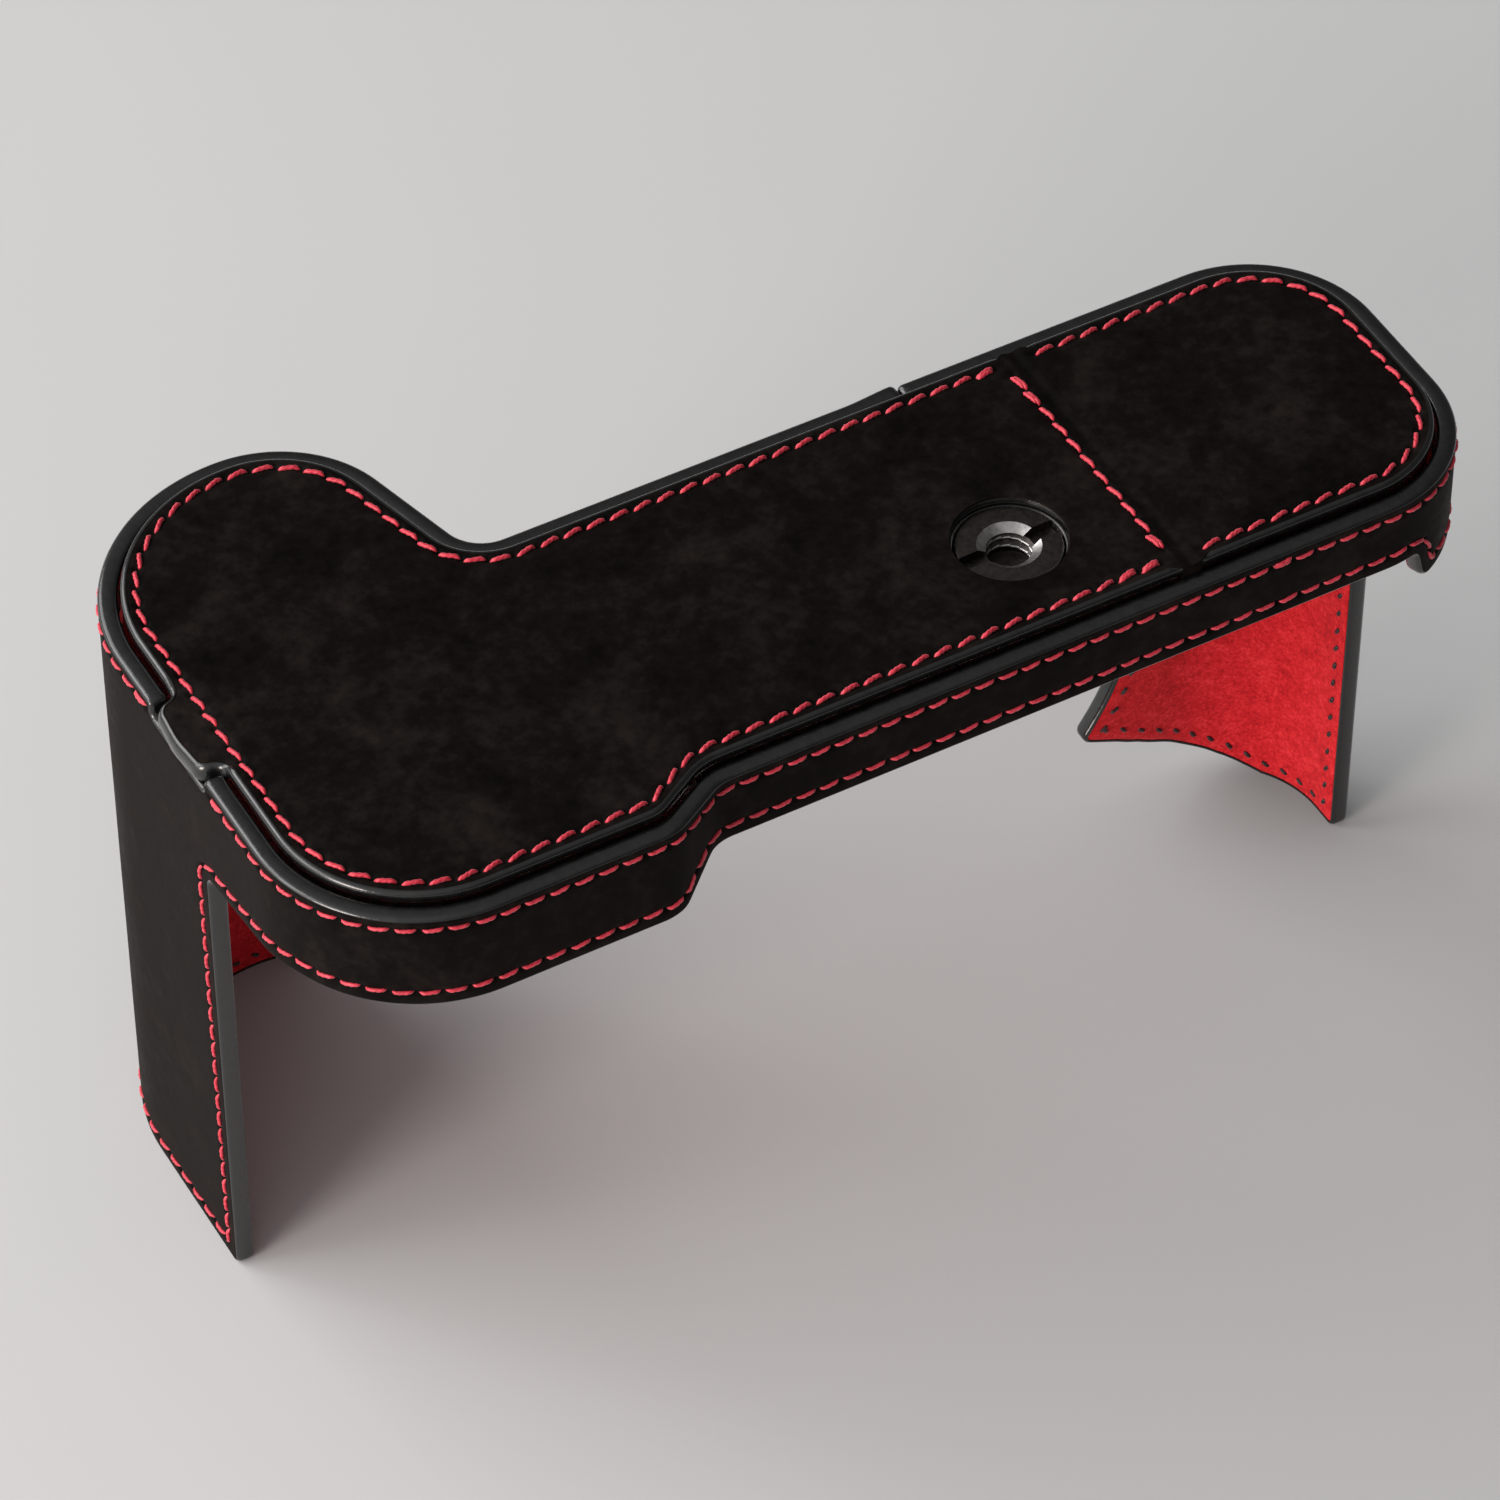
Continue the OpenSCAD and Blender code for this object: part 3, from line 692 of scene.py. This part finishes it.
def base_lift(p, depth):
    """Place on the base; the tab bends down, is thicker at its end and curls over there."""
    k = ease((TAB_ROOT - p[:, 0]) / TAB_BEND_RUN) * ease((TAB_W / 2 + 2.5 - np.abs(p[:, 1] - TAB_Y)) / 2)
    curl = np.clip((TAB_END + CURL_RUN - p[:, 0]) / CURL_RUN, 0, CURL_MOST) ** 2
    thicker = 1 + k * (TAB_THICKER - CURL_THINNER * curl)
    return np.stack([p[:, 0], p[:, 1], BASE_TOP - TAB_DROP * k - CURL_DROP * k * curl - depth * thicker], 1)


def foot_lift(p, depth):
    return np.stack([p[:, 0], p[:, 1], PANEL_FOOT + depth], 1)


def inner_lift(p, depth):
    return wall_lift(p, WALL - 0.02 - depth)


wall_profile = [(0.62, 0.0), (0.42, 0.03), (0.24, 0.12), (0.09, 0.32), (0.0, 0.62), (0.0, WALL - 0.55),
                (0.08, WALL - 0.24), (0.22, WALL - 0.06), (0.36, WALL), (0.5, WALL - 0.05), (0.52, 1.38)]
wall = shell("case_walls", [wall_loop], wall_profile, wall_lift, 1.3, [LEATHER_MAT, EDGE_MAT], range(1, 10),
             all_wall_rows, pressed(all_wall_rows, 0.12, 0.5, 0.25, 0.36))
settle(wall, "case", "black_leather", "wall_leather")

lining_loop = densified(shifted(wall_loop, 0.56), 0.6)
lining_profile = [(0.22, 0.0), (0.08, 0.06), (0.0, 0.2), (0.05, 0.42)]
lining = shell("case_wall_suede", [lining_loop], lining_profile, inner_lift, 1.3, [SUEDE_MAT], (), [],
               lambda p: 0.05 * np.sin(p[:, 0] * 0.23) * np.sin(p[:, 1] * 0.19))
settle(lining, "case", "red_suede", "wall_lining")

for node, rows in wall_rows.items():
    settle(stitches(node + "_yarn", rows, wall_lift, YARN_MAT, slant=0.09, proud=0.02, radius=0.225, seed=len(node),
                    doubles=rim_tacks if node == "rim_thread" else ()), "case", "red_thread", node)
    settle(stitches(node + "_bobbin", rows, inner_lift, BOBBIN_MAT, radius=0.27, length=0.95, slant=0.16, proud=0.02,
                    sink=0.25, seed=len(node)), "case", "red_thread")

inset_plan = moved_corners(PLAN, PANEL_INSET)
flap_edge = [c for c in inset_plan if c[0] < FOLD_LOW]
tab = [(inset_plan[3][0], TAB_Y + TAB_W / 2 + 0.3, 1.4), (TAB_END, TAB_Y + TAB_W / 2 - 0.2, 2.0),
       (TAB_END - TAB_BOW, TAB_Y, 14), (TAB_END, TAB_Y - TAB_W / 2 + 0.2, 2.0),
       (inset_plan[3][0], TAB_Y - TAB_W / 2 - 0.3, 1.4)]
fold_edge = [(FOLD_LOW, BACK + PANEL_INSET, 0), (FOLD_LOW, FRONT - PANEL_INSET, 0)]
flap_loop = densified(rounded(fold_edge[1:] + flap_edge[:4] + tab + flap_edge[4:] + fold_edge[:1]), 0.5)
under_loop = densified(rounded(fold_edge[1:] + flap_edge + fold_edge[:1]), 0.8)
panel_edge = [(FOLD_HIGH, FRONT - PANEL_INSET, 0), (FOLD_HIGH, BACK + PANEL_INSET, 0)]
panel_loop = densified(rounded(panel_edge + [c for c in inset_plan if c[0] > FOLD_HIGH]), 0.5)
strip_loop = densified(np.array([(FOLD_LOW, BACK + PANEL_INSET), (FOLD_HIGH, BACK + PANEL_INSET),
                                 (FOLD_HIGH, FRONT - PANEL_INSET), (FOLD_LOW, FRONT - PANEL_INSET)]), 0.3)


def circle(radius):
    """Points round the screw, clockwise."""
    count = math.ceil(2 * math.pi * radius / CIRCLE_STEP)
    a = -np.arange(count) / count * 2 * math.pi
    return np.stack([SCREW_X + radius * np.cos(a), SCREW_Y + radius * np.sin(a)], 1)


base_pressed = pressed(all_base_rows)


def base_relief(p):
    groove = 0.34 * np.exp(-((p[:, 0] - FOLD) / 0.75) ** 2) + 0.05 * np.exp(-((p[:, 0] - FOLD) / 2.5) ** 2)
    dish = 0.1 * np.exp(-((np.hypot(p[:, 0] - SCREW_X, p[:, 1] - SCREW_Y) - 8) / 1.6) ** 2)
    return base_pressed(p) + groove + dish


panel_profile = [(0.95, 0.0), (0.78, 0.055), (0.62, 0.0), (0.42, 0.03), (0.22, 0.12), (0.08, 0.28), (0.0, 0.5),
                 (0.0, 0.9), (0.0, 1.25), (0.12, LEATHER)]


def clear_flap(loop):
    """How far the flap's edge keeps its shape: not at the fold, and little round the screw."""
    round_screw = np.hypot(loop[:, 0] - SCREW_X, loop[:, 1] - SCREW_Y) < HEAD_HOLE_R + 0.4
    return ease((FOLD_LOW - loop[:, 0]) / 1.6) * np.where(round_screw, 0.25, 1)


def clear_panel(loop):
    """How far the end panel's edge keeps its shape: not at the fold."""
    return ease((loop[:, 0] - FOLD_HIGH) / 1.6)


flap = shell("flap_top", [flap_loop, circle(HEAD_HOLE_R)], panel_profile, base_lift, 1.3, [LEATHER_MAT, EDGE_MAT],
             range(2, 9), all_base_rows, base_relief, fade=clear_flap)
settle(flap, "flap", "black_leather", "flap_leather")
panel = shell("end_panel_top", [panel_loop], panel_profile, base_lift, 1.3, [LEATHER_MAT, EDGE_MAT], range(2, 9),
              all_base_rows, base_relief, fade=clear_panel)
settle(panel, "case", "black_leather", "end_panel_leather")
strip_profile = [(0.0, 0.0), (0.0, 0.8), (0.0, 1.7), (0.0, 2.6)]
strip = shell("hinge_leather", [strip_loop], strip_profile, base_lift, 0.3, [LEATHER_MAT, EDGE_MAT], (), [],
              base_relief)
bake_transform(strip)
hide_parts("hinge_strip")

suede_profile = [(0.3, 0.0), (0.12, 0.05), (0.0, 0.22), (0.0, SUEDE)]


def soft_swell(p):
    return 0.04 * np.sin(p[:, 0] * 0.3) * np.sin(p[:, 1] * 0.25 + 1)


settle(shell("flap_suede", [under_loop, circle(BUSH_R)], suede_profile, foot_lift, 1.4, [SUEDE_MAT], (), [],
             soft_swell, flip=True), "flap", "red_suede", "flap_lining")
settle(shell("end_panel_suede", [panel_loop], suede_profile, foot_lift, 1.4, [SUEDE_MAT], (), [],
             soft_swell, flip=True), "case", "red_suede", "end_panel_lining")
for node, body in (("flap_thread", "flap"), ("end_panel_thread", "case")):
    settle(stitches(node + "_yarn", base_rows[node], base_lift, YARN_MAT, slant=0.19, proud=0.04,
                    doubles=tacks if body == "flap" else (), seed=len(node)), body, "red_thread", node)
    settle(stitches(node + "_bobbin", base_rows[node], foot_lift, BOBBIN_MAT, radius=0.2, length=0.85, slant=0.0,
                    proud=0.0, sink=0.25, seed=len(node)), body, "red_thread")


# ---------------------------------------------------------------- tripod screw

def screw_mesh():
    """Turned head with a threaded socket above and a captive threaded shank below, before its slot is cut. Its rims and
    thread crests are bright metal, a painted highlight.
    """
    lead, major, minor = 1.27, 3.18, 2.62
    foot = PANEL_FOOT + 1.1
    neck_foot = PANEL_FOOT - 1.6
    chamfer = 0.75
    # Profile points are (radius, height, thread depth, flag); a flag of 1 puts bright metal on the socket's chamfer,
    # the head's rim and the thread crests as a painted highlight
    line = [(0.001, foot + 0.5, 0, 0), (minor, foot + 0.5, 0, 0)]
    for z in np.arange(foot + 0.55, HEAD_TOP - chamfer - 0.02, 0.09):
        line.append((major, z, minor - major, 1))
    line += [(minor + 0.06, HEAD_TOP - chamfer - 0.02, 0, 1), (major + 0.5, HEAD_TOP - 0.03, 0, 1),
             (major + 0.56, HEAD_TOP, 0, 1), (major + 0.64, HEAD_TOP, 0, 0), (5.6, HEAD_TOP, 0, 0),
             (6.05, HEAD_TOP - 0.05, 0, 1), (6.2, HEAD_TOP - 0.16, 0, 1), (6.29, HEAD_TOP - 0.36, 0, 0),
             (HEAD_R, HEAD_TOP - 0.6, 0, 0),
             (HEAD_R, foot, 0, 0), (NECK_R, foot, 0, 0), (NECK_R, neck_foot, 0, 1)]
    for z in np.arange(neck_foot, SHANK_FOOT + 0.5, -0.09):
        line.append((major, z, minor - major, 1))
    line += [(minor + 0.1, SHANK_FOOT + 0.25, 0, 1), (minor - 0.15, SHANK_FOOT, 0, 1), (0.001, SHANK_FOOT, 0, 1)]
    line = np.array(line)
    turns = 96
    a = np.arange(turns) / turns * 2 * math.pi
    phase = (line[:, 1][:, None] / lead - a[None, :] / (2 * math.pi)) % 1
    tooth = np.clip(1.5 * (1 - np.abs(2 * phase - 1)) - 0.25, 0, 1)
    r = line[:, 0][:, None] + line[:, 2][:, None] * tooth
    verts = np.stack([SCREW_X + r * np.cos(a), SCREW_Y + r * np.sin(a), np.repeat(line[:, 1][:, None], turns, 1)], 2)
    faces, marks = [], []
    for i in range(len(line) - 1):
        for j in range(turns):
            k = (j + 1) % turns
            faces.append([i * turns + j, i * turns + k, (i + 1) * turns + k, (i + 1) * turns + j][::-1])
            # Bright metal on flagged flat faces and thread crests is a painted highlight, not wear
            painted_highlight = line[i, 2] == 0 or tooth[i, j] > 0.9
            marks.append(int(line[i, 3] and line[i + 1, 3] and painted_highlight))
    faces.append(list(range(turns)))
    marks.append(1)
    faces.append([(len(line) - 1) * turns + j for j in range(turns)][::-1])
    marks.append(1)
    return new_mesh("slotted_screw", verts.reshape(-1, 3), faces, [DARK_METAL, BRIGHT_METAL], marks, sharp=28)


def cut_slot(obj, turn, width, depth):
    """Saws a straight slot across the head."""
    ends = [(-9, -width / 2), (9, -width / 2), (9, width / 2), (-9, width / 2)]
    c, s = math.cos(turn), math.sin(turn)
    plan = [(SCREW_X + x * c - y * s, SCREW_Y + x * s + y * c) for x, y in ends]
    verts = [(x, y, z) for z in (HEAD_TOP - depth, HEAD_TOP + 3) for x, y in plan]
    faces = [[3, 2, 1, 0], [4, 5, 6, 7]] + [[i, (i + 1) % 4, (i + 1) % 4 + 4, i + 4] for i in range(4)]
    saw = new_mesh("saw", verts, faces, [DARK_METAL])
    mod = obj.modifiers.new("slot", "BOOLEAN")
    mod.operation, mod.solver, mod.object = "DIFFERENCE", "EXACT", saw
    bpy.context.view_layer.update()
    cut_mesh = bpy.data.meshes.new_from_object(obj.evaluated_get(bpy.context.evaluated_depsgraph_get()))
    obj.modifiers.remove(mod)
    obj.data = cut_mesh
    bpy.data.objects.remove(saw)
    cut_mesh.set_sharp_from_angle(angle=math.radians(28))
    return obj


screw = cut_slot(screw_mesh(), math.radians(SLOT_TURN), SLOT_W, SLOT_DEPTH)
settle(screw, "screw", "dark_screw_metal", "tripod_screw")


# ---------------------------------------------------------------- CAD nodes that stay

def finish_node(node, material):
    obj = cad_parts[node]
    obj.data.materials.clear()
    obj.data.materials.append(material)


for node in ("grip_leg_core", "end_leg_core"):
    finish_node(node, BOARD_MAT)
for node in ("end_panel_board", "flap_board"):
    finish_node(node, EDGE_MAT)
finish_node("end_panel_welt", LEATHER_MAT)
finish_node("screw_bush", BRIGHT_METAL)
finish_node("head_washer", PLASTIC_MAT)


# ---------------------------------------------------------------- floor, light and camera

def area_light(name, place, target, size, power, colour=(1, 1, 1)):
    light = bpy.data.lights.new(name, "AREA")
    light.size, light.energy, light.color = size, power, colour
    obj = bpy.data.objects.new(name, light)
    obj.location = place
    obj.rotation_euler = (Vector(target) - Vector(place)).to_track_quat("-Z", "Y").to_euler()
    bpy.context.scene.collection.objects.link(obj)
    return obj


floor_mat = Nodes("floor_paper")
floor_mat.set(Base_Color=floor_mat.ramp(floor_mat.noise(0.01, 2), [(0.3, (0.6, 0.6, 0.6)), (0.7, (0.61, 0.61, 0.61))]),
              Roughness=0.85)
floor = new_mesh("floor", [(-3000, -3000, 0), (3000, -3000, 0), (3000, 3000, 0), (-3000, 3000, 0)], [[0, 1, 2, 3]],
                 [floor_mat.material])

world = bpy.data.worlds.new("studio")
world.use_nodes = True
sky = world.node_tree
towards = sky.nodes.new("ShaderNodeTexCoord")
dot = sky.nodes.new("ShaderNodeVectorMath")
dot.operation = "DOT_PRODUCT"
dot.inputs[1].default_value = (-0.8, 0.0, 0.6)
shade = sky.nodes.new("ShaderNodeValToRGB")
shade.color_ramp.elements[0].position, shade.color_ramp.elements[0].color = 0.0, (0.17, 0.17, 0.17, 1)
shade.color_ramp.elements[1].position, shade.color_ramp.elements[1].color = 0.85, (1, 1, 1, 1)
background = sky.nodes["Background"]
sky.links.new(towards.outputs["Generated"], dot.inputs[0])
sky.links.new(dot.outputs["Value"], shade.inputs["Fac"])
sky.links.new(shade.outputs["Color"], background.inputs["Color"])
background.inputs["Strength"].default_value = 0.74
bpy.context.scene.world = world
area_light("key_side", (-1.2, 0.0, 0.6), (0, 0, 0.04), 0.9, 5, (1.0, 0.985, 0.965))
area_light("key_back", (-1.0, 0.6, 0.8), (0, 0, 0.04), 0.9, 7)
area_light("key_far", (-0.55, 1.05, 0.75), (0, 0, 0.04), 0.8, 5.5)
area_light("kicker", (-0.9, -0.28, 0.26), (0.07, 0, 0.03), 0.35, 5.2, (1.0, 0.9, 0.84))
bpy.context.scene.view_settings.view_transform = "Standard"
lining.visible_diffuse = False

CAMERA_PLACE, CAMERA_TARGET, CAMERA_LENS = (-0.29447, -0.51734, 0.66072), (-0.0219, -0.0315, 0.0835), 175.2
cam = bpy.data.cameras.new("camera")
cam.sensor_width, cam.lens, cam.clip_start = 36, CAMERA_LENS, 0.01
camera = bpy.data.objects.new("camera", cam)
camera.location = CAMERA_PLACE
camera.rotation_euler = (Vector(CAMERA_TARGET) - camera.location).to_track_quat("-Z", "Y").to_euler()
bpy.context.scene.collection.objects.link(camera)
bpy.context.scene.camera = camera
